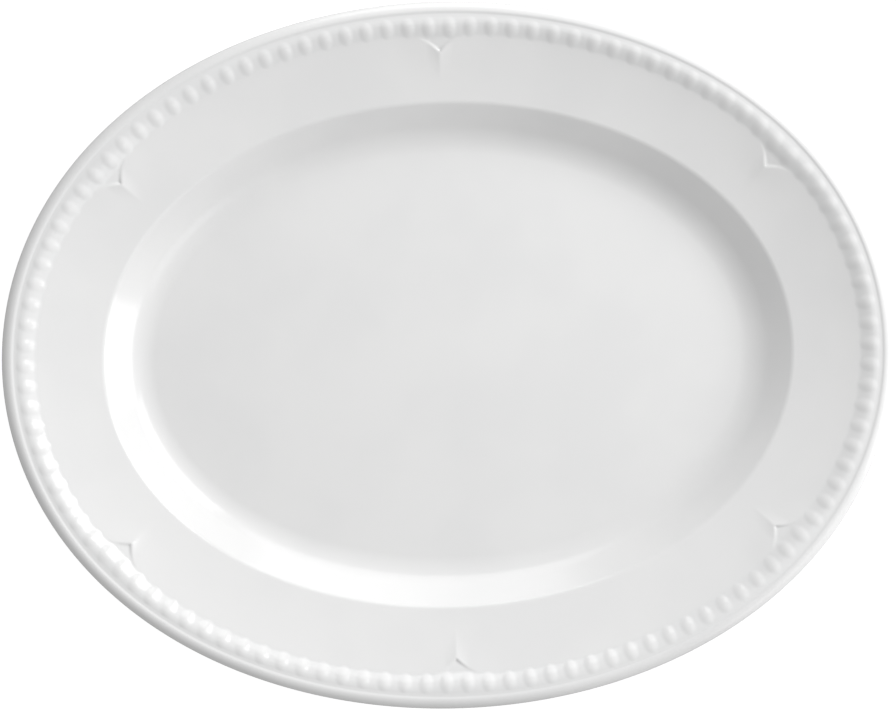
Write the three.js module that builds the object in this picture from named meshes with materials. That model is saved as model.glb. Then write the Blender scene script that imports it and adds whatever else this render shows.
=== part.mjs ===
// Oval serving platter in glazed porcelain. A wide rim with a rolled edge carries a border of
// soft beads and six bracket-shaped points, and slopes down to an oval well that stands on an
// unglazed foot ring. The platter is one fired piece: each node is one named region of it, and
// neighbouring regions meet face to face.
// Millimetres, +Z up. X runs along the length. The origin is under the middle of the platter, on
// the surface that it stands on.
import * as THREE from 'three';
import { mergeVertices } from 'three/addons/utils/BufferGeometryUtils.js';

// Overall size
const LENGTH = 305;
const WIDTH = 241.5;
const HEIGHT = 27.8;
const OVAL_FULLNESS = 0.0067; // the share by which its four shoulders stand outside a true ellipse

// Section of the rim. An inset is a distance inwards from the outline, square to it.
const ROLL_RADIUS = 2.65;
const ROLL_BELLY = 3.1; // the roll's lower half is a little deeper than its upper half
const GROOVE_INSET = 3.75;
const GROOVE_DEPTH = 0.5; // below the top of the roll
const BEAD_FOOT_INSET = 12.3;
const RIM_EDGE_INSET = 33.2; // the crisp inner edge of the rim
const RIM_SLOPE = THREE.MathUtils.degToRad(18);

// Section of the well
const WALL_TOP_INSET = 34.9;
const WALL_FOOT_INSET = 41.7;
const WALL_SLOPE = THREE.MathUtils.degToRad(42);
const FLOOR_FILLET = 14;
const BODY_THICKNESS = 4.4;

// Foot ring
const FOOT_HEIGHT = 2.6;
const FOOT_WIDTH = 4.4; // of the face that it stands on
const FOOT_DRAFT = 0.5; // how far each side leans in towards that face

// Bead border
const BEAD_COUNT = 114;
const BEAD_LINE_INSET = 7.7; // the beads are evenly spaced along this line
const BEAD_SPLITS = 3; // mesh columns for each bead: the dip beside it and its own two edges
const BEAD_SHOULDERS = [
  { inset: 5.6, top: 0.25, dip: 0.8 }, // heights below the top of the roll
  { inset: 8.6, top: 1.05, dip: 1.85 },
];

// The bracket-shaped points. Stations are counted in beads, from the bead at the +X end.
const CUSP_STATIONS = [10.5, 28.5, 46.5, 67.5, 85.5, 103.5];
const CUSP_HALF_SPAN = 7;
const CUSP_REACH = 4.3; // from the foot of the beads to the tip
const CUSP_KEEL = 9; // from the tip inwards
const CUSP_ARM = 1.2; // thickness of an arm at its end
const CUSP_RISE = 0.9;
const CUSP_LIP = 0.15;
const CUSP_SEAT_GAP = 0.05;
const CUSP_COLUMNS = 8;

const ARC_STEPS = 4; // facets of each rounded stretch of the section

// Heights and insets that follow from the dimensions above
const floorTop = FOOT_HEIGHT + BODY_THICKNESS;
const floorInset = WALL_FOOT_INSET + FLOOR_FILLET * Math.sin(WALL_SLOPE);
const wallFootHeight = floorTop + FLOOR_FILLET * (1 - Math.cos(WALL_SLOPE));
const wallTopHeight = wallFootHeight + (WALL_FOOT_INSET - WALL_TOP_INSET) * Math.tan(WALL_SLOPE);
const edgeFillet = (WALL_TOP_INSET - RIM_EDGE_INSET) / (Math.sin(WALL_SLOPE) - Math.sin(RIM_SLOPE));
const rimEdgeHeight = wallTopHeight + edgeFillet * (Math.cos(RIM_SLOPE) - Math.cos(WALL_SLOPE));
const rimUnderDrop = BODY_THICKNESS / Math.cos(RIM_SLOPE);
const wallUnderDrop = BODY_THICKNESS / Math.cos(WALL_SLOPE);
const grooveHeight = HEIGHT - GROOVE_DEPTH;

function rimTop(inset) {
  return rimEdgeHeight + (RIM_EDGE_INSET - inset) * Math.tan(RIM_SLOPE);
}

function rimUnder(inset) {
  return rimTop(inset) - rimUnderDrop;
}

function wallUnder(inset) {
  return wallFootHeight - wallUnderDrop + (WALL_FOOT_INSET - inset) * Math.tan(WALL_SLOPE);
}

// Where the straight undersides of rim and wall cross, and where the wall's reaches the foot
const slopeChange = Math.tan(WALL_SLOPE) - Math.tan(RIM_SLOPE);
const underCornerInset = WALL_FOOT_INSET + (wallUnder(WALL_FOOT_INSET) - rimUnder(WALL_FOOT_INSET)) / slopeChange;
const footInset = WALL_FOOT_INSET + (wallUnder(WALL_FOOT_INSET) - FOOT_HEIGHT) / Math.tan(WALL_SLOPE);
const footRootWidth = FOOT_WIDTH + 2 * FOOT_DRAFT;

// The oval at a constant inset from the outline
class InsetOval extends THREE.Curve {
  constructor(inset) {
    super();
    this.inset = inset;
    this.arcLengthDivisions = 4000;
  }

  getPoint(t, target = new THREE.Vector2()) {
    const angle = 2 * Math.PI * t;
    const growth = 1 + OVAL_FULLNESS * Math.sin(2 * angle) ** 2;
    const growthRate = 2 * OVAL_FULLNESS * Math.sin(4 * angle);
    const outward = new THREE.Vector2(
      (Math.cos(angle) * growth + Math.sin(angle) * growthRate) * WIDTH,
      (Math.sin(angle) * growth - Math.cos(angle) * growthRate) * LENGTH,
    ).normalize();
    target.set(Math.cos(angle) * LENGTH / 2, Math.sin(angle) * WIDTH / 2).multiplyScalar(growth);
    return target.addScaledVector(outward, -this.inset);
  }
}

const beadLine = new InsetOval(BEAD_LINE_INSET);
const beadPitch = beadLine.getLength() / BEAD_COUNT;

// The point at an inset and a station
function ovalPoint(station, inset) {
  const turns = THREE.MathUtils.euclideanModulo(station / BEAD_COUNT, 1);
  return new InsetOval(inset).getPoint(beadLine.getUtoTmapping(turns));
}

// The same on the faceted rings. Their columns are a bead apart and stand in the dips.
function ringPoint(column, inset) {
  const whole = Math.floor(column);
  const start = ovalPoint(whole + 0.5, inset);
  return start.lerp(ovalPoint(whole + 1.5, inset), column - whole);
}

// A turned ring whose columns are moved out to the oval. The section runs up its outer side and
// then inwards along its top. The lift of a corner may change along the ring.
function ovalRing(section, splits = 1, lift = () => 0) {
  const profile = [...section, section[0]].map((corner) => new THREE.Vector2(WIDTH - corner.inset, corner.z));
  const geometry = new THREE.LatheGeometry(profile, BEAD_COUNT * splits);
  const position = geometry.getAttribute('position');
  for (let i = 0; i < position.count; i += 1) {
    const column = Math.floor(i / profile.length) % (BEAD_COUNT * splits);
    const corner = section[(i % profile.length) % section.length];
    const place = ringPoint(column / splits, corner.inset);
    position.setXYZ(i, place.x, place.y, corner.z + lift(corner, column % splits));
  }
  return closedBody(geometry);
}

function closedBody(geometry) {
  geometry.deleteAttribute('normal');
  geometry.deleteAttribute('uv');
  const body = mergeVertices(geometry, 1e-3);
  body.computeVertexNormals();
  return body;
}

// Points of a rounded stretch, from one angle to another
function arc(centre, radiusIn, radiusUp, from, to, steps) {
  const points = [];
  for (let i = 0; i <= steps; i += 1) {
    const angle = THREE.MathUtils.lerp(from, to, i / steps);
    points.push({
      inset: centre.inset + radiusIn * Math.sin(angle),
      z: centre.z + radiusUp * Math.cos(angle),
    });
  }
  return points;
}

function glazedPorcelain() {
  return new THREE.MeshStandardMaterial({ color: 0xf3f3f2, roughness: 0.12, metalness: 0 });
}

function barePorcelain() {
  return new THREE.MeshStandardMaterial({ color: 0xe8e3d9, roughness: 0.85, metalness: 0 });
}

function footRing() {
  return ovalRing([
    { inset: footInset + FOOT_DRAFT, z: 0 },
    { inset: footInset, z: FOOT_HEIGHT },
    { inset: footInset + footRootWidth, z: FOOT_HEIGHT },
    { inset: footInset + footRootWidth - FOOT_DRAFT, z: 0 },
  ]);
}

function wellFloor() {
  const outline = new THREE.Shape();
  for (let column = 0; column < BEAD_COUNT; column += 1) {
    const place = ringPoint(column, floorInset);
    if (column === 0) outline.moveTo(place.x, place.y);
    else outline.lineTo(place.x, place.y);
  }
  const geometry = new THREE.ExtrudeGeometry(outline, { depth: BODY_THICKNESS, bevelEnabled: false });
  return closedBody(geometry);
}

function wellWall() {
  const fillet = { inset: floorInset, z: floorTop + FLOOR_FILLET };
  const edge = {
    inset: RIM_EDGE_INSET - edgeFillet * Math.sin(RIM_SLOPE),
    z: rimEdgeHeight - edgeFillet * Math.cos(RIM_SLOPE),
  };
  return ovalRing([
    { inset: footInset, z: FOOT_HEIGHT },
    { inset: underCornerInset, z: rimUnder(underCornerInset) },
    ...arc(edge, edgeFillet, edgeFillet, RIM_SLOPE, WALL_SLOPE, 2),
    ...arc(fillet, FLOOR_FILLET, FLOOR_FILLET, Math.PI + WALL_SLOPE, Math.PI, ARC_STEPS),
    { inset: floorInset, z: FOOT_HEIGHT },
    { inset: footInset + footRootWidth, z: FOOT_HEIGHT },
  ]);
}

function rimFlange() {
  return ovalRing([
    { inset: BEAD_FOOT_INSET, z: rimUnder(BEAD_FOOT_INSET) },
    { inset: BEAD_FOOT_INSET, z: rimTop(BEAD_FOOT_INSET) },
    { inset: RIM_EDGE_INSET, z: rimEdgeHeight },
    { inset: underCornerInset, z: rimUnder(underCornerInset) },
  ]);
}

function beadBand() {
  const section = [
    { inset: GROOVE_INSET, z: rimUnder(GROOVE_INSET) },
    { inset: GROOVE_INSET, z: grooveHeight },
    ...BEAD_SHOULDERS.map(({ inset, top, dip }) => ({ inset, z: HEIGHT - dip, bead: dip - top })),
    { inset: BEAD_FOOT_INSET, z: rimTop(BEAD_FOOT_INSET) },
    { inset: BEAD_FOOT_INSET, z: rimUnder(BEAD_FOOT_INSET) },
  ];
  return ovalRing(section, BEAD_SPLITS, (corner, split) => (split === 0 ? 0 : corner.bead ?? 0));
}

function edgeRoll() {
  const centre = { inset: ROLL_RADIUS, z: HEIGHT - ROLL_RADIUS };
  const lower = arc(centre, ROLL_RADIUS, ROLL_BELLY, -Math.PI, -Math.PI / 2, ARC_STEPS);
  const upper = arc(centre, ROLL_RADIUS, ROLL_RADIUS, -Math.PI / 2, 0, ARC_STEPS);
  return ovalRing([
    ...lower,
    ...upper.slice(1),
    { inset: GROOVE_INSET, z: grooveHeight },
    { inset: GROOVE_INSET, z: rimUnder(GROOVE_INSET) },
  ]);
}

// A point of the border: two arms that curve in to a tip, and a keel that runs on from the tip
function cuspPoint(centre) {
  const geometry = new THREE.BoxGeometry(2, 2, 1, CUSP_COLUMNS, 2, 1);
  const position = geometry.getAttribute('position');
  for (let i = 0; i < position.count; i += 1) {
    const across = position.getX(i);
    const nearness = (1 - Math.abs(across)) ** 2;
    const row = (position.getY(i) + 1) / 2;
    const depth = THREE.MathUtils.lerp(CUSP_ARM, CUSP_KEEL, nearness);
    const inset = BEAD_FOOT_INSET + 2 * CUSP_LIP + CUSP_REACH * nearness + depth * row ** 2;
    const place = ovalPoint(centre + across * CUSP_HALF_SPAN / beadPitch, inset);
    const ridge = row === 0.5 ? CUSP_RISE * nearness : 0;
    const top = position.getZ(i) > 0 ? CUSP_LIP + ridge : 0;
    position.setXYZ(i, place.x, place.y, rimTop(inset) + CUSP_SEAT_GAP + top);
  }
  return closedBody(geometry);
}

function addNode(group, name, geometry, material) {
  const node = new THREE.Mesh(geometry, material);
  node.name = name;
  group.add(node);
  return node;
}

const platter = new THREE.Group();
addNode(platter, 'foot_ring', footRing(), barePorcelain());
addNode(platter, 'well_floor', wellFloor(), glazedPorcelain()).position.z = FOOT_HEIGHT;
addNode(platter, 'well_wall', wellWall(), glazedPorcelain());
addNode(platter, 'rim_flange', rimFlange(), glazedPorcelain());
addNode(platter, 'bead_band', beadBand(), glazedPorcelain());
addNode(platter, 'edge_roll', edgeRoll(), glazedPorcelain());
CUSP_STATIONS.forEach((station, i) => {
  addNode(platter, `cusp_point_${i + 1}`, cuspPoint(station), glazedPorcelain());
});

export default platter;
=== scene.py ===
"""Oval serving platter in white glazed porcelain.

A rolled edge, a border of soft beads with six bracket-shaped points, a wide sloping rim,
an oval well and an unglazed foot ring. Geometry Nodes sweep the section of each region round
one oval guide line, and raise the beads and the points. Lengths are in metres.
"""

import math

import bpy
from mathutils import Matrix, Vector


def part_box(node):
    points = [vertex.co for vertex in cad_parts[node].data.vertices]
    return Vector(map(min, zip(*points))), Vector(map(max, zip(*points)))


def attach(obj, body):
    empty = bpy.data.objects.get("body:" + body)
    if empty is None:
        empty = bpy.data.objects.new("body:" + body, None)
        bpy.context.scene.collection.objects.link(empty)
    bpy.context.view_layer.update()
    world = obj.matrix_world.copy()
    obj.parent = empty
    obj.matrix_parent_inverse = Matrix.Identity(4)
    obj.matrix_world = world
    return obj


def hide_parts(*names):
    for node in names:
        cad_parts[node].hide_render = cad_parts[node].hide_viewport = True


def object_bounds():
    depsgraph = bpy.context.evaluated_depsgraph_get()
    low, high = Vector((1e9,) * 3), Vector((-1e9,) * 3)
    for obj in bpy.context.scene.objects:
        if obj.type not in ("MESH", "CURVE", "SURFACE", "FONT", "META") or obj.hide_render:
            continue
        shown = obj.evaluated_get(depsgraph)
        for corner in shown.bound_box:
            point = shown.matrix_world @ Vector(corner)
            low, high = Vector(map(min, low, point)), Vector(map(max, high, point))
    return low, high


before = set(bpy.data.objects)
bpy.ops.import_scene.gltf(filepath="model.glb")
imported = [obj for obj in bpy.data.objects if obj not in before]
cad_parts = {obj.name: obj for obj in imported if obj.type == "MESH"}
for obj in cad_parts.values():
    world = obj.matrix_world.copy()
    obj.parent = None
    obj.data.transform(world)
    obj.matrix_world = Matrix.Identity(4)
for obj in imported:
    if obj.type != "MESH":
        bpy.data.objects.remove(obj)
cad_low, cad_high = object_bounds()

# ---------------------------------------------------------------------------
# Sizes that the frame gives. An inset is a distance inwards from the outline.

MM = 0.001
LENGTH, WIDTH, HEIGHT = cad_high - cad_low


def reach_of(node):
    """How far a node's outermost edge lies inside the platter's outline."""
    return cad_high.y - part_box(node)[1].y


GROOVE = reach_of("bead_band")
BEAD_FOOT = reach_of("rim_flange")
UNDER_CORNER = reach_of("well_wall")
FOOT_OUTSIDE = reach_of("foot_ring")
FLOOR_EDGE = reach_of("well_floor")
FOOT_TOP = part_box("foot_ring")[1].z
FLOOR_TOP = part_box("well_floor")[1].z
RIM_EDGE_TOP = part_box("well_wall")[1].z
BODY = FLOOR_TOP - FOOT_TOP

# ---------------------------------------------------------------------------
# Driving sizes

# The oval
FULLNESS = 0.0067  # the share by which its four shoulders stand outside a true ellipse

# The rolled edge
ROLL_RADIUS = 2.65 * MM
ROLL_BELLY = 3.1 * MM  # from the roll's widest line down to its underside
ROLL_CROWN = 3.0 * MM  # inset of the roll's highest line
ROLL_UNDERSIDE = 0.4 * MM  # width of the flat under the roll

# The border from roll to rim, in the dips between beads: (inset, depth below the roll), in mm.
# It ends at the beads' foot, at the rim's own height.
BORDER_PROFILE = [
    (3.0, 0.0), (3.4, 0.05), (3.75, 0.18), (4.2, 0.35), (5.0, 0.44), (6.0, 0.5),
    (7.0, 0.7), (8.0, 1.1), (9.0, 1.62), (10.0, 2.2), (11.0, 2.77), (11.7, 3.08),
]

# The rim and the well
RIM_SLOPE = math.radians(18)
RIM_SAG = 0.28 * MM  # depth of the rim's upper side under a straight slope
RIM_EDGE = 33.2 * MM
WALL_TOP = 34.9 * MM
WALL_SLOPE = math.radians(42)
FLOOR_FILLET = 14 * MM

# The foot ring and the corners under the platter
FOOT_WIDTH = 4.4 * MM
FOOT_DRAFT = 0.5 * MM
FOOT_EDGE = 0.9 * MM
FOOT_FILLET = 1.2 * MM
UNDER_FILLET = 3.0 * MM

# Beads
BEADS = 114
BEAD_LINE = 7.7 * MM
BEAD_CENTRE = 8.4 * MM
BEAD_HALF_LENGTH = 3.6 * MM
BEAD_HALF_WIDTH = 2.5 * MM
BEAD_RISE = 0.34 * MM
BEAD_SOFTNESS = 1.4

# Bracket points: two on the short axis, and two more at this many beads from each of them
POINTS_APART = 18
POINT_REACH = 4.3 * MM
POINT_ARM = 7.5 * MM
POINT_CURL = 1.8
POINT_STEP = 1.1 * MM
POINT_TROUGH = 0.25 * MM
TROUGH_LEAD_IN = 3 * MM
TROUGH_FADE = 0.6  # the share of the arm, at its far end, over which the trough fades
KEEL_RISE = 0.42 * MM
KEEL_LENGTH = 11 * MM
KEEL_HALF_WIDTH = 4.2 * MM
KEEL_CREST = 0.3 * MM
KEEL_SIDE_CURVE = 1.3
KEEL_END_CURVE = 1.5

# Each point draws the border a little inwards
BORDER_PULL = 0.8 * MM
BORDER_PULL_SPAN = 17 * MM
PULL_LEAD_IN = 4 * MM
PULL_FADE = 12 * MM

# Where the glaze pools: between the groove and the beads' foot
POOL_OUTER_BLEND = 0.8 * MM
POOL_INNER_BLEND = 1 * MM

# The edge of the glaze on the foot ring
GLAZE_LINE = 1.2 * MM
GLAZE_LINE_WAVER = 0.9 * MM
GLAZE_LINE_BLEND = 0.1 * MM
SCUFF_HEIGHT = 0.25 * MM

# Fineness of the sweep
GUIDE_POINTS = 4096
COLUMNS_PER_BEAD = 12
FINE_STEP = 0.4 * MM
RIM_STEP = 0.8 * MM
COARSE_STEP = 3 * MM
FINE_MARGIN = 2 * MM
ARC_STEPS = 20
RIM_EDGE_STEPS = 10
BEND_STEPS = 8
BEND_MIDDLE = BEND_STEPS // 2
BORDER_STEPS = 5
SEAM_STRIP = 0.03 * MM
SAME_PLACE = 1e-7
WELD_DISTANCE = 1e-6
CREASE = math.radians(50)

# The sizes that the node trees take, by the names of their sockets
OVAL_SIZES = {"Length": LENGTH, "Width": WIDTH, "Fullness": FULLNESS}
RELIEF_SIZES = {
    "Bead Line": BEAD_LINE, "Bead Foot": BEAD_FOOT, "Bead Centre": BEAD_CENTRE,
    "Bead Half Length": BEAD_HALF_LENGTH, "Bead Half Width": BEAD_HALF_WIDTH,
    "Bead Rise": BEAD_RISE, "Bead Softness": BEAD_SOFTNESS,
    "Point Reach": POINT_REACH, "Point Arm": POINT_ARM, "Point Curl": POINT_CURL,
    "Point Step": POINT_STEP, "Point Trough": POINT_TROUGH,
    "Keel Rise": KEEL_RISE, "Keel Length": KEEL_LENGTH, "Keel Half Width": KEEL_HALF_WIDTH,
    "Border Pull": BORDER_PULL, "Border Pull Span": BORDER_PULL_SPAN,
}


# ---------------------------------------------------------------------------
# Lines and curves of the section. Its points are (inset, height).


def between(start, end, share):
    return tuple(a + (b - a) * share for a, b in zip(start, end))


def towards(start, end, distance):
    return between(start, end, distance / math.dist(start, end))


def straight(start, end, step=COARSE_STEP):
    """Evenly spaced points from start to end."""
    steps = max(1, math.ceil(math.dist(start, end) / step))
    return [between(start, end, i / steps) for i in range(steps + 1)]


def arc(centre, radius_in, radius_up, start, end, steps=ARC_STEPS):
    """A rounded stretch. Its angles turn from straight up towards the middle of the platter."""
    points = []
    for i in range(steps + 1):
        angle = start + (end - start) * i / steps
        points.append((centre[0] + radius_in * math.sin(angle), centre[1] + radius_up * math.cos(angle)))
    return points


def bend(start, corner, end):
    """A soft corner: it leaves start and reaches end along the lines to the corner."""
    points = []
    for i in range(BEND_STEPS + 1):
        share = i / BEND_STEPS
        points.append(between(between(start, corner, share), between(corner, end, share), share))
    return points


def curve_through(points, steps):
    """A smooth curve through all the points, with this many steps between each two."""
    before_first = between(points[1], points[0], 2)
    after_last = between(points[-2], points[-1], 2)
    line = [before_first, *points, after_last]
    made = []
    for a, b, c, d in zip(line, line[1:], line[2:], line[3:]):
        for i in range(steps):
            t = i / steps
            made.append(tuple(
                q + t * ((r - p) + t * ((2 * p - 5 * q + 4 * r - s) + t * (3 * q - p - 3 * r + s))) / 2
                for p, q, r, s in zip(a, b, c, d)
            ))
    return made + [points[-1]]


def seam_strips(points):
    """Adds a narrow strip at each end, so that two regions shade alike where they meet."""
    first = towards(points[0], points[1], SEAM_STRIP)
    last = towards(points[-1], points[-2], SEAM_STRIP)
    return [points[0], first, *points[1:-1], last, points[-1]]


def without_repeats(points):
    kept = []
    for point in points:
        if not kept or math.dist(kept[-1], point) > SAME_PLACE:
            kept.append(point)
    return kept


def path(*stretches):
    """One stretch of surface made of several, with seam strips at its ends."""
    return seam_strips(without_repeats([point for stretch in stretches for point in stretch]))


# ---------------------------------------------------------------------------
# The section of each region: its upper side from the outline inwards, and its underside back out


def rim_straight(inset):
    return RIM_EDGE_TOP + (RIM_EDGE - inset) * math.tan(RIM_SLOPE)


def rim_top(inset):
    """The rim's upper side. It sags under the straight slope between the beads and the well."""
    share = (inset - BEAD_FOOT) / (RIM_EDGE - BEAD_FOOT)
    return rim_straight(inset) - RIM_SAG * 4 * share * (1 - share)


def rim_under(inset):
    return rim_straight(inset) - BODY / math.cos(RIM_SLOPE)


wall_foot = (
    FLOOR_EDGE - FLOOR_FILLET * math.sin(WALL_SLOPE),
    FLOOR_TOP + FLOOR_FILLET * (1 - math.cos(WALL_SLOPE)),
)
groove_under = (GROOVE, rim_under(GROOVE))
under_corner = (UNDER_CORNER, rim_under(UNDER_CORNER))
foot_corner = (FOOT_OUTSIDE, FOOT_TOP)
foot_inner_corner = (FOOT_OUTSIDE + FOOT_WIDTH + 2 * FOOT_DRAFT, FOOT_TOP)
foot_toe = (FOOT_OUTSIDE + FOOT_DRAFT, 0.0)
foot_heel = (foot_inner_corner[0] - FOOT_DRAFT, 0.0)
under_bend = bend(
    towards(under_corner, groove_under, UNDER_FILLET),
    under_corner,
    towards(under_corner, foot_corner, UNDER_FILLET),
)
foot_outer_bend = bend(
    towards(foot_corner, under_corner, FOOT_FILLET),
    foot_corner,
    towards(foot_corner, foot_toe, FOOT_FILLET),
)
foot_inner_bend = bend(
    towards(foot_inner_corner, foot_heel, FOOT_FILLET),
    foot_inner_corner,
    (foot_inner_corner[0] + FOOT_FILLET, FOOT_TOP),
)


def border_line():
    points = [(inset * MM, HEIGHT - depth * MM) for inset, depth in BORDER_PROFILE]
    return curve_through([*points, (BEAD_FOOT, rim_top(BEAD_FOOT))], BORDER_STEPS)


def edge_roll_section():
    """One line right round the roll. No bead or point reaches it, so its sides aren't told apart."""
    widest = HEIGHT - ROLL_RADIUS
    lower = arc((ROLL_RADIUS, widest), ROLL_RADIUS, ROLL_BELLY, -math.pi, -math.pi / 2)
    upper = arc((ROLL_CROWN, widest), ROLL_CROWN, ROLL_RADIUS, -math.pi / 2, 0)
    inner = [point for point in border_line() if point[0] <= GROOVE + SAME_PLACE]
    under = [groove_under, (ROLL_RADIUS + ROLL_UNDERSIDE, lower[0][1])]
    return path(under, lower[1:], upper, inner), []


def bead_band_section():
    top = [point for point in border_line() if point[0] >= GROOVE - SAME_PLACE]
    under = straight((BEAD_FOOT, rim_under(BEAD_FOOT)), groove_under)
    return path(top), path(under)


def rim_flange_section():
    """Finely divided as far in as the points' keels reach."""
    keel_end = BEAD_FOOT + POINT_REACH + KEEL_LENGTH + FINE_MARGIN
    fine = straight((BEAD_FOOT, 0), (keel_end, 0), FINE_STEP)
    coarse = straight((keel_end, 0), (RIM_EDGE, 0), RIM_STEP)
    top = path([(inset, rim_top(inset)) for inset, _ in fine + coarse])
    under = path(
        under_bend[: BEND_MIDDLE + 1][::-1],
        straight(under_bend[0], (BEAD_FOOT, rim_under(BEAD_FOOT))),
    )
    return top, under


def well_wall_section():
    """Rounds over from the rim's own slope into the wall, and out again into the floor."""
    rim_end_slope = math.atan(math.tan(RIM_SLOPE) - 4 * RIM_SAG / (RIM_EDGE - BEAD_FOOT))
    radius = (WALL_TOP - RIM_EDGE) / (math.sin(WALL_SLOPE) - math.sin(rim_end_slope))
    centre = (
        RIM_EDGE - radius * math.sin(rim_end_slope),
        RIM_EDGE_TOP - radius * math.cos(rim_end_slope),
    )
    round_over = arc(centre, radius, radius, rim_end_slope, WALL_SLOPE, RIM_EDGE_STEPS)
    fillet_centre = (FLOOR_EDGE, FLOOR_TOP + FLOOR_FILLET)
    top = path(
        round_over,
        straight(round_over[-1], wall_foot),
        arc(fillet_centre, FLOOR_FILLET, FLOOR_FILLET, math.pi + WALL_SLOPE, math.pi),
    )
    under = path(
        straight((FLOOR_EDGE, FOOT_TOP), foot_inner_bend[-1]),
        foot_inner_bend[BEND_MIDDLE:][::-1],
        foot_outer_bend[: BEND_MIDDLE + 1][::-1],
        straight(foot_outer_bend[0], under_bend[-1]),
        under_bend[BEND_MIDDLE:][::-1],
    )
    return top, under


def foot_ring_section():
    toe = bend(
        towards(foot_toe, foot_corner, FOOT_EDGE),
        foot_toe,
        (foot_toe[0] + FOOT_EDGE, 0.0),
    )
    heel = bend(
        (foot_heel[0] - FOOT_EDGE, 0.0),
        foot_heel,
        towards(foot_heel, foot_inner_corner, FOOT_EDGE),
    )
    outside = foot_outer_bend[BEND_MIDDLE:]
    inside = foot_inner_bend[: BEND_MIDDLE + 1]
    return [], path(inside[::-1], heel[::-1], toe[::-1], outside[::-1])


# ---------------------------------------------------------------------------
# Node trees: small helpers

GEOMETRY = "NodeSocketGeometry"
FLOAT = "NodeSocketFloat"
COUNT = "NodeSocketInt"
VECTOR = "NodeSocketVector"
MATERIAL = "NodeSocketMaterial"
MODIFIER_TREE = "GeometryNodeTree"
SHADER_TREE = "ShaderNodeTree"


def feed(tree, socket, value):
    """Wires a field or an output into a socket, or sets the socket to a plain value."""
    if isinstance(value, Field):
        value = value.socket
    if isinstance(value, bpy.types.NodeSocket):
        tree.links.new(value, socket)
    else:
        socket.default_value = value


def add_node(tree, kind, inputs=None, **settings):
    """Adds a node. Its inputs are given by name or number."""
    node = tree.nodes.new(kind)
    for name, value in settings.items():
        setattr(node, name, value)
    for name, value in (inputs or {}).items():
        feed(tree, node.inputs[name], value)
    return node


def new_tree(name, kind, inputs, outputs):
    """A node tree with named sockets: each is (name, socket type), and a default if it has one."""
    tree = bpy.data.node_groups.new(name, kind)
    for in_out, sockets in (("INPUT", inputs), ("OUTPUT", outputs)):
        for label, socket_type, *default in sockets:
            socket = tree.interface.new_socket(label, in_out=in_out, socket_type=socket_type)
            if default:
                socket.default_value = default[0]
    return tree, add_node(tree, "NodeGroupInput"), add_node(tree, "NodeGroupOutput")


def size_sockets(sizes):
    return [(name, FLOAT, value) for name, value in sizes.items()]


class Field:
    """A number that varies over a surface. Each operation on it adds a Math node."""

    def __init__(self, tree, socket):
        self.tree = tree
        self.socket = socket

    def math(self, operation, *others):
        inputs = dict(enumerate((self, *others)))
        return Field(self.tree, add_node(self.tree, "ShaderNodeMath", inputs, operation=operation).outputs[0])

    def __add__(self, other):
        return self.math("ADD", other)

    def __sub__(self, other):
        return self.math("SUBTRACT", other)

    def __mul__(self, other):
        return self.math("MULTIPLY", other)

    def __truediv__(self, other):
        return self.math("DIVIDE", other)

    def __pow__(self, other):
        return self.math("POWER", other)

    def __abs__(self):
        return self.math("ABSOLUTE")

    def at_least(self, low):
        return self.math("MAXIMUM", low)

    def at_most(self, high):
        return self.math("MINIMUM", high)

    def complement(self):
        """One minus the field, and nowhere below nought."""
        return (self * -1 + 1).at_least(0)

    def ramp(self, low, high):
        """Rises smoothly from 0 where the field is low to 1 where it is high."""
        inputs = {0: self, 1: low, 2: high}
        node = add_node(self.tree, "ShaderNodeMapRange", inputs, interpolation_type="SMOOTHSTEP")
        return Field(self.tree, node.outputs[0])


# ---------------------------------------------------------------------------
# Geometry Nodes: helpers


def store(tree, geometry, name, value, data_type="FLOAT"):
    inputs = {"Geometry": geometry, "Name": name, "Value": value}
    settings = {"data_type": data_type, "domain": "POINT"}
    return add_node(tree, "GeometryNodeStoreNamedAttribute", inputs, **settings).outputs[0]


def stored(tree, name, data_type="FLOAT"):
    node = add_node(tree, "GeometryNodeInputNamedAttribute", {"Name": name}, data_type=data_type)
    return Field(tree, node.outputs["Attribute"])


def vector_math(tree, operation, *inputs):
    return add_node(tree, "ShaderNodeVectorMath", dict(enumerate(inputs)), operation=operation).outputs[0]


def scaled(tree, vector, factor):
    inputs = {"Vector": vector, "Scale": factor}
    return add_node(tree, "ShaderNodeVectorMath", inputs, operation="SCALE").outputs[0]


def upward(tree, height):
    return add_node(tree, "ShaderNodeCombineXYZ", {2: height}).outputs[0]


def moved(tree, geometry, offset):
    inputs = {"Geometry": geometry, "Offset": offset}
    return add_node(tree, "GeometryNodeSetPosition", inputs).outputs[0]


def inward(tree, distance):
    """A step square to the outline, towards the middle of the platter."""
    return scaled(tree, stored(tree, "inward", "FLOAT_VECTOR"), distance)


def glazed(tree, geometry, glaze):
    """The end of a region's tree: plain geometry with its material."""
    realized = add_node(tree, "GeometryNodeRealizeInstances", {"Geometry": geometry})
    inputs = {"Geometry": realized.outputs[0], "Material": glaze}
    return add_node(tree, "GeometryNodeSetMaterial", inputs).outputs[0]


# ---------------------------------------------------------------------------
# Geometry Nodes: the guide line, the sweep with its relief, and the floor's plate


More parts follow.
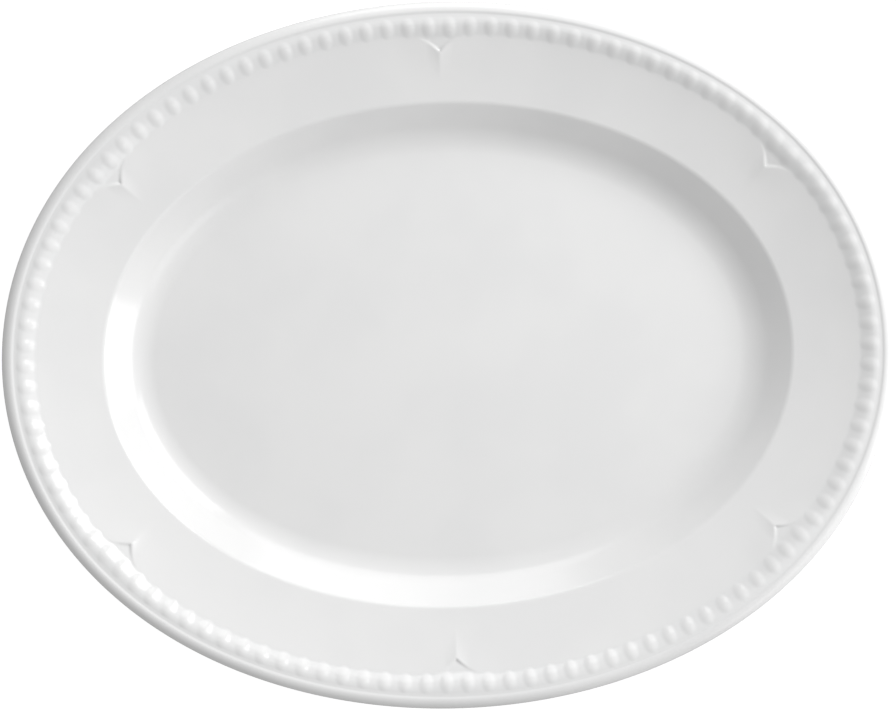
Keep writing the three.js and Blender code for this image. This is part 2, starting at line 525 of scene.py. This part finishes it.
def oval_guide_tree():
    """The oval at one inset from the outline, with evenly spaced points that know their place."""
    tree, given, result = new_tree(
        "oval_guide", MODIFIER_TREE,
        size_sockets(OVAL_SIZES) + [("Inset", FLOAT), ("Points", COUNT), ("Stations", FLOAT)],
        [("Curve", GEOMETRY)],
    )
    circle = add_node(tree, "GeometryNodeCurvePrimitiveCircle", {"Resolution": GUIDE_POINTS, "Radius": 1.0})
    round_place = add_node(tree, "GeometryNodeInputPosition").outputs[0]
    parts = add_node(tree, "ShaderNodeSeparateXYZ", {0: round_place})
    across = Field(tree, parts.outputs["X"]) * parts.outputs["Y"] * 2
    growth = across * across * given.outputs["Fullness"] + 1
    half_sizes = add_node(
        tree, "ShaderNodeCombineXYZ",
        {0: growth * given.outputs["Length"] / 2, 1: growth * given.outputs["Width"] / 2},
    ).outputs[0]
    outline = add_node(
        tree, "GeometryNodeSetPosition",
        {"Geometry": circle.outputs[0], "Position": vector_math(tree, "MULTIPLY", round_place, half_sizes)},
    ).outputs[0]
    tangent = add_node(tree, "GeometryNodeInputTangent").outputs[0]
    square_in = vector_math(tree, "CROSS_PRODUCT", (0.0, 0.0, 1.0), tangent)
    outline = store(tree, outline, "inward", square_in, "FLOAT_VECTOR")
    oval = moved(tree, outline, inward(tree, given.outputs["Inset"]))
    count = {"Curve": oval, "Count": given.outputs["Points"]}
    even = add_node(tree, "GeometryNodeResampleCurve", count).outputs[0]
    index = Field(tree, add_node(tree, "GeometryNodeInputIndex").outputs[0])
    station = index * given.outputs["Stations"] / given.outputs["Points"]
    feed(tree, result.inputs["Curve"], store(tree, even, "station", station))
    return tree


def guide_line(tree, given, points, stations):
    """The guide line along the beads, for a tree that has the oval's sizes among its inputs."""
    inputs = {name: given.outputs[name] for name in OVAL_SIZES}
    inputs |= {"Inset": given.outputs["Bead Line"], "Points": points, "Stations": stations}
    guide = bpy.data.node_groups["oval_guide"]
    return add_node(tree, "GeometryNodeGroup", inputs, node_tree=guide).outputs[0]


def bead_relief(station, inset, pitch, sizes):
    """Height of the beads, as a share of their rise: long ovals that point across the border."""
    along = abs((station + 0.5).math("FRACT") - 0.5) * pitch
    across = (inset - sizes["Bead Centre"]) / sizes["Bead Half Length"]
    spread = (along / sizes["Bead Half Width"]) ** 2 + across * across
    return spread.complement() ** sizes["Bead Softness"]


def point_relief(aside, inset, sizes):
    """The trough behind a bracket point, and the keel in front of it, each as a share."""
    near = (aside / sizes["Point Arm"]).complement()
    bracket = near ** sizes["Point Curl"] * sizes["Point Reach"] + sizes["Bead Foot"]
    ahead = inset - bracket
    behind_step = (ahead * -1).ramp(0.0, sizes["Point Step"])
    from_border = inset.ramp(sizes["Bead Foot"] - TROUGH_LEAD_IN, sizes["Bead Foot"])
    trough = behind_step * from_border * near.at_most(TROUGH_FADE) / TROUGH_FADE
    crest = (aside * aside + KEEL_CREST**2).math("SQRT") - KEEL_CREST
    beside = (crest / sizes["Keel Half Width"]).complement() ** KEEL_SIDE_CURVE
    fading = (ahead.at_least(0.0) / sizes["Keel Length"]).complement() ** KEEL_END_CURVE
    keel = beside * fading * (ahead + sizes["Point Step"]).ramp(0.0, sizes["Point Step"])
    return trough, keel


def border_pull(aside, inset, sizes):
    """How far the border is drawn inwards beside a point. The groove itself stays in place."""
    pull_along = ((aside / sizes["Border Pull Span"]) ** 2).complement() ** 2
    lead_in = inset.ramp(GROOVE, GROOVE + PULL_LEAD_IN)
    fade = inset.ramp(BEAD_FOOT, BEAD_FOOT + PULL_FADE).complement()
    return pull_along * (lead_in * fade) * sizes["Border Pull"]


def glaze_pooling(bead, trough, inset):
    """Where glaze has run together: between the beads and behind the points."""
    inside_groove = inset.ramp(GROOVE - POOL_OUTER_BLEND, GROOVE)
    outside_rim = inset.ramp(BEAD_FOOT - POOL_INNER_BLEND, BEAD_FOOT).complement()
    return (inside_groove * outside_rim * bead.complement() + trough).at_most(1.0)


def platter_region_tree():
    """Sweeps a section round the guide line and raises the relief on its upper side."""
    tree, given, result = new_tree(
        "platter_region", MODIFIER_TREE,
        [("Section", GEOMETRY), *size_sockets(OVAL_SIZES), ("Beads", FLOAT), ("Points Apart", FLOAT),
         ("Columns per Bead", COUNT), *size_sockets(RELIEF_SIZES), ("Crease", FLOAT), ("Glaze", MATERIAL)],
        [("Region", GEOMETRY)],
    )
    sizes = {name: Field(tree, given.outputs[name]) for name in RELIEF_SIZES}
    beads = Field(tree, given.outputs["Beads"])
    guide = guide_line(tree, given, beads * given.outputs["Columns per Bead"], beads)
    level = add_node(tree, "GeometryNodeSetCurveNormal", {"Curve": guide}, mode="Z_UP")
    guide_length = add_node(tree, "GeometryNodeCurveLength", {"Curve": guide}).outputs[0]
    profile = add_node(tree, "GeometryNodeMeshToCurve", {"Mesh": given.outputs["Section"]})
    swept = add_node(
        tree, "GeometryNodeCurveToMesh", {"Curve": level.outputs[0], "Profile Curve": profile.outputs[0]}
    ).outputs[0]

    station = stored(tree, "station")
    inset = stored(tree, "inset")
    facing_up = stored(tree, "facing_up")
    pitch = Field(tree, guide_length) / beads
    from_middle_points = abs(station.math("MODULO", beads / 2) - beads / 4)
    aside = from_middle_points.at_most(abs(from_middle_points - given.outputs["Points Apart"])) * pitch

    bead = bead_relief(station, inset, pitch, sizes)
    trough, keel = point_relief(aside, inset, sizes)
    rise = bead * sizes["Bead Rise"] + keel * sizes["Keel Rise"] - trough * sizes["Point Trough"]
    pull = border_pull(aside, inset, sizes)
    offset = vector_math(tree, "ADD", upward(tree, rise * facing_up), inward(tree, pull * facing_up))
    pooling = glaze_pooling(bead, trough, inset) * facing_up
    relieved = moved(tree, store(tree, swept, "glaze_pooling", pooling), offset)

    smooth = add_node(tree, "GeometryNodeSetShadeSmooth", {"Geometry": relieved, "Shade Smooth": True})
    bent = Field(tree, add_node(tree, "GeometryNodeInputMeshEdgeAngle").outputs["Unsigned Angle"])
    sharp = bent.math("GREATER_THAN", given.outputs["Crease"])
    creased = add_node(
        tree, "GeometryNodeSetShadeSmooth",
        {"Geometry": smooth.outputs[0], "Selection": sharp, "Shade Smooth": False},
        domain="EDGE",
    )
    feed(tree, result.inputs["Region"], glazed(tree, creased.outputs[0], given.outputs["Glaze"]))
    return tree


def oval_disc_tree():
    """A flat oval plate that fills the guide line."""
    tree, given, result = new_tree(
        "oval_disc", MODIFIER_TREE,
        [("Geometry", GEOMETRY), *size_sockets(OVAL_SIZES), ("Bead Line", FLOAT), ("Edge", FLOAT),
         ("Points", COUNT), ("Bottom", FLOAT), ("Thickness", FLOAT), ("Glaze", MATERIAL)],
        [("Region", GEOMETRY)],
    )
    guide = guide_line(tree, given, given.outputs["Points"], 1.0)
    further_in = Field(tree, given.outputs["Edge"]) - given.outputs["Bead Line"]
    edge = moved(tree, guide, inward(tree, further_in))
    plate = add_node(tree, "GeometryNodeFillCurve", {"Curve": edge}, mode="NGONS").outputs[0]
    filled = moved(tree, plate, upward(tree, given.outputs["Bottom"]))
    thickness = {"Offset": upward(tree, 1.0), "Offset Scale": given.outputs["Thickness"]}
    top = add_node(
        tree, "GeometryNodeExtrudeMesh", {"Mesh": filled, **thickness, "Individual": False}
    ).outputs[0]
    bottom = add_node(tree, "GeometryNodeFlipFaces", {"Mesh": filled}).outputs[0]
    joined = add_node(tree, "GeometryNodeJoinGeometry")
    tree.links.new(bottom, joined.inputs[0])
    tree.links.new(top, joined.inputs[0])
    weld = {"Geometry": joined.outputs[0], "Distance": WELD_DISTANCE}
    closed = add_node(tree, "GeometryNodeMergeByDistance", weld)
    feed(tree, result.inputs["Region"], glazed(tree, closed.outputs[0], given.outputs["Glaze"]))
    return tree


def section_mesh(name, top, under):
    """The section as a closed line of edges, placed for the sweep, with each point's inset and side."""
    points = (top + under)[::-1]
    mesh = bpy.data.meshes.new(name)
    edges = [(i, (i + 1) % len(points)) for i in range(len(points))]
    mesh.from_pydata([(BEAD_LINE - inset, -height, 0.0) for inset, height in points], edges, [])
    insets = mesh.attributes.new("inset", "FLOAT", "POINT")
    insets.data.foreach_set("value", [inset for inset, _ in points])
    facing_up = mesh.attributes.new("facing_up", "FLOAT", "POINT")
    facing_up.data.foreach_set("value", [0.0] * len(under) + [1.0] * len(top))
    return mesh


def shape_region(name, mesh, tree, inputs):
    """Runs a tree on a mesh once, and keeps the result as a plain closed mesh."""
    region = bpy.data.objects.new(name, mesh)
    bpy.context.scene.collection.objects.link(region)
    modifier = region.modifiers.new(tree.name, "NODES")
    modifier.node_group = tree
    for item in tree.interface.items_tree:
        if item.in_out == "INPUT" and item.name in inputs:
            modifier[item.identifier] = inputs[item.name]
    shaped = region.evaluated_get(bpy.context.evaluated_depsgraph_get())
    finished = bpy.data.meshes.new_from_object(shaped)
    region.modifiers.clear()
    region.data = finished
    finished.name = name
    for helper in ("inset", "facing_up", "station", "inward"):
        if helper in finished.attributes:
            finished.attributes.remove(finished.attributes[helper])
    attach(region, "root")
    return region


# ---------------------------------------------------------------------------
# Materials

WHITE = (1.0, 1.0, 1.0, 1.0)
GLAZE_WHITE = (0.87, 0.87, 0.868, 1.0)
GLAZE_CLOUD = (0.845, 0.846, 0.846, 1.0)
GLAZE_POOLED = (0.83, 0.835, 0.837, 1.0)
SPECK_BROWN = (0.3, 0.25, 0.2, 1.0)
BARE_PALE = (0.78, 0.745, 0.69, 1.0)
BARE_DARK = (0.66, 0.61, 0.54, 1.0)
SCUFF_GREY = (0.42, 0.4, 0.37, 1.0)
PAPER_GREY = (0.6, 0.6, 0.6, 1.0)
PAPER_SHADE = (0.4, 0.4, 0.4, 1.0)

CERAMIC_IOR = 1.5
POOLING_STRENGTH = 0.35
SPECK_STRENGTH = 0.55
SCUFF_STRENGTH = 0.6
GLAZE_ROUGHNESS = 0.13
GLAZE_ROUGHNESS_SPREAD = 0.06
GLAZE_EDGE_ROUGHNESS = 0.12
BARE_ROUGHNESS = 0.75
BARE_ROUGHNESS_SPREAD = 0.15
PAPER_ROUGHNESS = 0.95

ORANGE_PEEL = 0.16 * MM
BODY_GRAIN = 0.06 * MM
GLAZE_LINE_STEP = 0.08 * MM
PAPER_GRAIN = 0.05 * MM


def fired_unevenness_group():
    """The slow and fine unevenness that firing leaves: two masks from 0 to 1, and their height."""
    tree, given, result = new_tree(
        "fired_unevenness", SHADER_TREE,
        [("Vector", VECTOR), ("Slow Scale", FLOAT), ("Fine Scale", FLOAT), ("Fine Share", FLOAT)],
        [("Slow", FLOAT), ("Fine", FLOAT), ("Height", FLOAT)],
    )
    noises = {}
    for name, detail in (("Slow", 2.0), ("Fine", 4.0)):
        scale = given.outputs[name + " Scale"]
        inputs = {"Vector": given.outputs["Vector"], "Scale": scale, "Detail": detail}
        noises[name] = Field(tree, add_node(tree, "ShaderNodeTexNoise", inputs).outputs[0])
        feed(tree, result.inputs[name], noises[name])
    fine_share = Field(tree, given.outputs["Fine Share"])
    height = noises["Slow"] * fine_share.complement() + noises["Fine"] * fine_share
    feed(tree, result.inputs["Height"], height)
    return tree


def kiln_specks_group():
    """Scattered small round specks, of which only a share of the possible ones shows."""
    tree, given, result = new_tree(
        "kiln_specks", SHADER_TREE,
        [("Vector", VECTOR), ("Cell Size", FLOAT), ("Speck Size", FLOAT), ("Share", FLOAT)],
        [("Mask", FLOAT)],
    )
    cells_per_metre = Field(tree, given.outputs["Cell Size"]) ** -1.0
    inputs = {"Vector": given.outputs["Vector"], "Scale": cells_per_metre}
    cells = add_node(tree, "ShaderNodeTexVoronoi", inputs)
    distance = Field(tree, cells.outputs["Distance"]) * given.outputs["Cell Size"]
    near = (distance / given.outputs["Speck Size"]).ramp(0.5, 1.0).complement()
    chance = add_node(tree, "ShaderNodeSeparateColor", {0: cells.outputs["Color"]}).outputs[0]
    shows = Field(tree, chance).math("LESS_THAN", given.outputs["Share"])
    feed(tree, result.inputs["Mask"], near * shows)
    return tree


def place_group(tree, name, inputs):
    return add_node(tree, "ShaderNodeGroup", inputs, node_tree=bpy.data.node_groups[name])


def mixed(tree, share, first, second):
    """A colour between two: the first where the share is 0."""
    node = add_node(tree, "ShaderNodeMix", data_type="RGBA")
    feed(tree, node.inputs[0], share)
    feed(tree, node.inputs[6], first)
    feed(tree, node.inputs[7], second)
    return node.outputs[2]


def bump(tree, height, depth, before=None):
    node = add_node(tree, "ShaderNodeBump", {"Height": height, "Distance": depth, "Strength": 1.0})
    if before is not None:
        feed(tree, node.inputs["Normal"], before)
    return node.outputs[0]


def new_material(name):
    material = bpy.data.materials.new(name)
    material.use_nodes = True
    tree = material.node_tree
    place = add_node(tree, "ShaderNodeTexCoord").outputs["Object"]
    return material, tree, tree.nodes["Principled BSDF"], place


def glaze_colour(tree, place, uneven):
    """White with faint clouds, a cooler tone where it has pooled, and a rare speck."""
    cloud = Field(tree, uneven.outputs["Slow"]).ramp(0.35, 0.7)
    clouded = mixed(tree, cloud, GLAZE_WHITE, GLAZE_CLOUD)
    pooling = add_node(tree, "ShaderNodeAttribute", attribute_name="glaze_pooling").outputs["Fac"]
    pooled = mixed(tree, Field(tree, pooling) * POOLING_STRENGTH, clouded, GLAZE_POOLED)
    specks = place_group(
        tree, "kiln_specks", {"Vector": place, "Cell Size": 9 * MM, "Speck Size": 0.16 * MM, "Share": 0.06}
    )
    return mixed(tree, Field(tree, specks.outputs[0]) * SPECK_STRENGTH, pooled, SPECK_BROWN)


def white_glaze_material():
    """Glossy glaze over white porcelain, with a slight orange peel."""
    material, tree, shader, place = new_material("clear_glaze")
    scales = {"Slow Scale": 28.0, "Fine Scale": 620.0, "Fine Share": 0.04}
    uneven = place_group(tree, "fired_unevenness", {"Vector": place, **scales})
    roughness = Field(tree, uneven.outputs["Slow"]) * GLAZE_ROUGHNESS_SPREAD + GLAZE_ROUGHNESS
    feed(tree, shader.inputs["Base Color"], glaze_colour(tree, place, uneven))
    feed(tree, shader.inputs["Roughness"], roughness)
    feed(tree, shader.inputs["Normal"], bump(tree, uneven.outputs["Height"], ORANGE_PEEL))
    shader.inputs["IOR"].default_value = CERAMIC_IOR
    return material


def bare_porcelain_material():
    """Matte fired body on the face that the foot stands on, under the wavering edge of the glaze."""
    material, tree, shader, place = new_material("fired_body")
    scales = {"Slow Scale": 90.0, "Fine Scale": 2600.0, "Fine Share": 0.5}
    uneven = place_group(tree, "fired_unevenness", {"Vector": place, **scales})
    slow = Field(tree, uneven.outputs["Slow"])
    fine = Field(tree, uneven.outputs["Fine"])
    height = Field(tree, add_node(tree, "ShaderNodeSeparateXYZ", {0: place}).outputs["Z"])
    wavering = height + (slow - 0.5) * GLAZE_LINE_WAVER
    glazed_part = wavering.ramp(GLAZE_LINE - GLAZE_LINE_BLEND, GLAZE_LINE + GLAZE_LINE_BLEND)
    bare_part = glazed_part.complement()
    scuffed = fine.ramp(0.52, 0.68) * height.ramp(0.0, SCUFF_HEIGHT).complement()
    body = mixed(tree, slow.ramp(0.3, 0.7), BARE_PALE, BARE_DARK)
    worn = mixed(tree, scuffed * SCUFF_STRENGTH, body, SCUFF_GREY)
    bare_roughness = fine * BARE_ROUGHNESS_SPREAD + BARE_ROUGHNESS
    feed(tree, shader.inputs["Base Color"], mixed(tree, glazed_part, worn, GLAZE_WHITE))
    feed(tree, shader.inputs["Roughness"], bare_roughness * bare_part + glazed_part * GLAZE_EDGE_ROUGHNESS)
    grain = bump(tree, fine * bare_part, BODY_GRAIN)
    feed(tree, shader.inputs["Normal"], bump(tree, glazed_part, GLAZE_LINE_STEP, grain))
    shader.inputs["IOR"].default_value = CERAMIC_IOR
    return material


# ---------------------------------------------------------------------------
# Camera, lights and floor

SENSOR_WIDTH = 36.0  # mm
CAMERA_HEIGHT = 1.6  # above the widest line of the roll
CAMERA_REACH = 20.0
PICTURE_MARGIN = 1.004  # width of the picture, in platter lengths
PICTURE_TURN = math.radians(-1.6)
WORLD_STRENGTH = 0.47
BACKGROUND_STRENGTH = 1.0
FLOOR_WIDTH = 6.0
FLOOR_GLOW = 0.86


def overhead_camera():
    """Straight above the platter, which fills the picture and lies turned a little in it."""
    data = bpy.data.cameras.new("overhead")
    camera = bpy.data.objects.new("overhead", data)
    bpy.context.scene.collection.objects.link(camera)
    data.sensor_width = SENSOR_WIDTH
    data.lens = data.sensor_width * CAMERA_HEIGHT / (LENGTH * PICTURE_MARGIN)
    data.clip_end = CAMERA_REACH
    camera.location = (0.0, 0.0, HEIGHT - ROLL_RADIUS + CAMERA_HEIGHT)
    camera.rotation_euler = (0.0, 0.0, PICTURE_TURN)
    bpy.context.scene.camera = camera


def softbox(name, azimuth, elevation, distance, size, power):
    """A square soft light that looks at the platter. Azimuth 0 is +X and 90 is +Y."""
    data = bpy.data.lights.new(name, "AREA")
    data.shape = "SQUARE"
    data.size = size
    data.energy = power
    light = bpy.data.objects.new(name, data)
    bpy.context.scene.collection.objects.link(light)
    turn = math.radians(azimuth)
    lift = math.radians(elevation)
    way = Vector((math.cos(turn) * math.cos(lift), math.sin(turn) * math.cos(lift), math.sin(lift)))
    light.location = way * distance
    light.rotation_euler = (-way).to_track_quat("-Z", "Y").to_euler()


def for_the_camera(tree, lighting, seen, output):
    """Shows the camera one shader and lights the scene with another."""
    to_camera = add_node(tree, "ShaderNodeLightPath").outputs["Is Camera Ray"]
    mix = add_node(tree, "ShaderNodeMixShader", {0: to_camera, 1: lighting, 2: seen})
    feed(tree, output.inputs["Surface"], mix.outputs[0])


def studio_world():
    """A soft even light from all round, behind a white background."""
    world = bpy.data.worlds.new("studio")
    bpy.context.scene.world = world
    world.use_nodes = True
    tree = world.node_tree
    lighting = tree.nodes["Background"]
    feed(tree, lighting.inputs["Color"], WHITE)
    feed(tree, lighting.inputs["Strength"], WORLD_STRENGTH)
    seen = add_node(tree, "ShaderNodeBackground", {"Color": WHITE, "Strength": BACKGROUND_STRENGTH})
    for_the_camera(tree, lighting.outputs[0], seen.outputs[0], tree.nodes["World Output"])


def pale_floor():
    """White paper, which the camera sees white or nearly so."""
    mesh = bpy.data.meshes.new("floor")
    half = FLOOR_WIDTH / 2
    corners = [(-half, -half, 0), (half, -half, 0), (half, half, 0), (-half, half, 0)]
    mesh.from_pydata(corners, [], [(0, 1, 2, 3)])
    floor = bpy.data.objects.new("floor", mesh)
    bpy.context.scene.collection.objects.link(floor)
    material, tree, shader, place = new_material("paper")
    grain = add_node(tree, "ShaderNodeTexNoise", {"Vector": place, "Scale": 900.0, "Detail": 3.0}).outputs[0]
    shader.inputs["Base Color"].default_value = PAPER_GREY
    shader.inputs["Roughness"].default_value = PAPER_ROUGHNESS
    feed(tree, shader.inputs["Normal"], bump(tree, grain, PAPER_GRAIN))
    shade = add_node(tree, "ShaderNodeBsdfDiffuse", {"Color": PAPER_SHADE}).outputs[0]
    glow = add_node(tree, "ShaderNodeEmission", {"Color": WHITE, "Strength": FLOOR_GLOW}).outputs[0]
    seen = add_node(tree, "ShaderNodeAddShader", {0: shade, 1: glow}).outputs[0]
    for_the_camera(tree, shader.outputs[0], seen, tree.nodes["Material Output"])
    mesh.materials.append(material)


# ---------------------------------------------------------------------------
# The platter

overhead_camera()
oval_guide_tree()
region_tree = platter_region_tree()
disc_tree = oval_disc_tree()
fired_unevenness_group()
kiln_specks_group()
white_glaze = white_glaze_material()
bare_porcelain = bare_porcelain_material()

region_inputs = {
    **OVAL_SIZES, **RELIEF_SIZES, "Beads": float(BEADS), "Points Apart": float(POINTS_APART),
    "Columns per Bead": COLUMNS_PER_BEAD, "Crease": CREASE,
}
regions = {
    "edge_roll": (edge_roll_section, white_glaze, "white_glaze"),
    "bead_band": (bead_band_section, white_glaze, "white_glaze"),
    "rim_flange": (rim_flange_section, white_glaze, "white_glaze"),
    "well_wall": (well_wall_section, white_glaze, "white_glaze"),
    "foot_ring": (foot_ring_section, bare_porcelain, "bare_porcelain"),
}
for name, (section, material, slot) in regions.items():
    inputs = {**region_inputs, "Glaze": material}
    outline = section_mesh(name, *section())
    shape_region(name + "_surface", outline, region_tree, inputs)
    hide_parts(name)

floor_inputs = {
    **OVAL_SIZES, "Bead Line": BEAD_LINE, "Edge": FLOOR_EDGE, "Points": BEADS * COLUMNS_PER_BEAD,
    "Bottom": FOOT_TOP, "Thickness": BODY, "Glaze": white_glaze,
}
empty = bpy.data.meshes.new("well_floor")
shape_region("well_floor_surface", empty, disc_tree, floor_inputs)
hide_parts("well_floor")
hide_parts(*[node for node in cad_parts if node.startswith("cusp_point")])

studio_world()
pale_floor()
softbox("low_right", azimuth=-4, elevation=15, distance=1.0, size=0.6, power=3.8)
softbox("high_right", azimuth=35, elevation=36, distance=1.0, size=0.55, power=4.2)
softbox("near_back", azimuth=85, elevation=24, distance=0.65, size=0.42, power=1.2)
softbox("fill", azimuth=-45, elevation=40, distance=1.0, size=0.4, power=0.5)
bpy.context.scene.view_settings.view_transform = "Standard"
